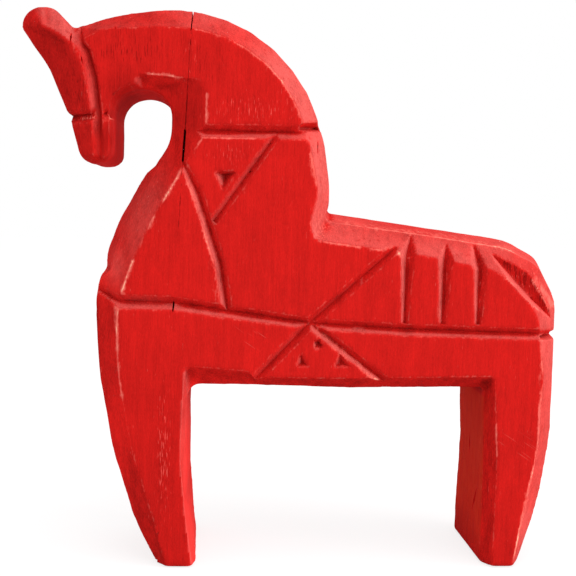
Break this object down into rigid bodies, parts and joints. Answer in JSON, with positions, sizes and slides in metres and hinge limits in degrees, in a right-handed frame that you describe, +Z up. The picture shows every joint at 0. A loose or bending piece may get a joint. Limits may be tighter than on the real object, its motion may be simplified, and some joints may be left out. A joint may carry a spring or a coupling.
{
  "type": "carved wooden horse",
  "caption": "Free-standing slab-shaped wooden horse figurine with a bowed head, broad legs, pared edges and grooves cut in its faces, glued up from dowelled boards.",
  "frame": {"origin": "centre of the bounding box, at the level of the soles", "axes": "+Z up, head towards -X, carved faces towards -Y and +Y"},
  "size_m": [0.233, 0.06, 0.24],
  "materials": {
    "red_paint": "thin matt red paint over wood, worn at the edges",
    "beech": "bare planed beech"
  },
  "bodies": {
    "root": {"head_board": "red_paint", "neck_board": "red_paint", "rump_board": "red_paint", "neck_dowel": "beech", "shoulder_dowel": "beech", "chest_dowel": "beech", "back_dowel": "beech", "belly_dowel": "beech"}
  },
  "joints": []
}
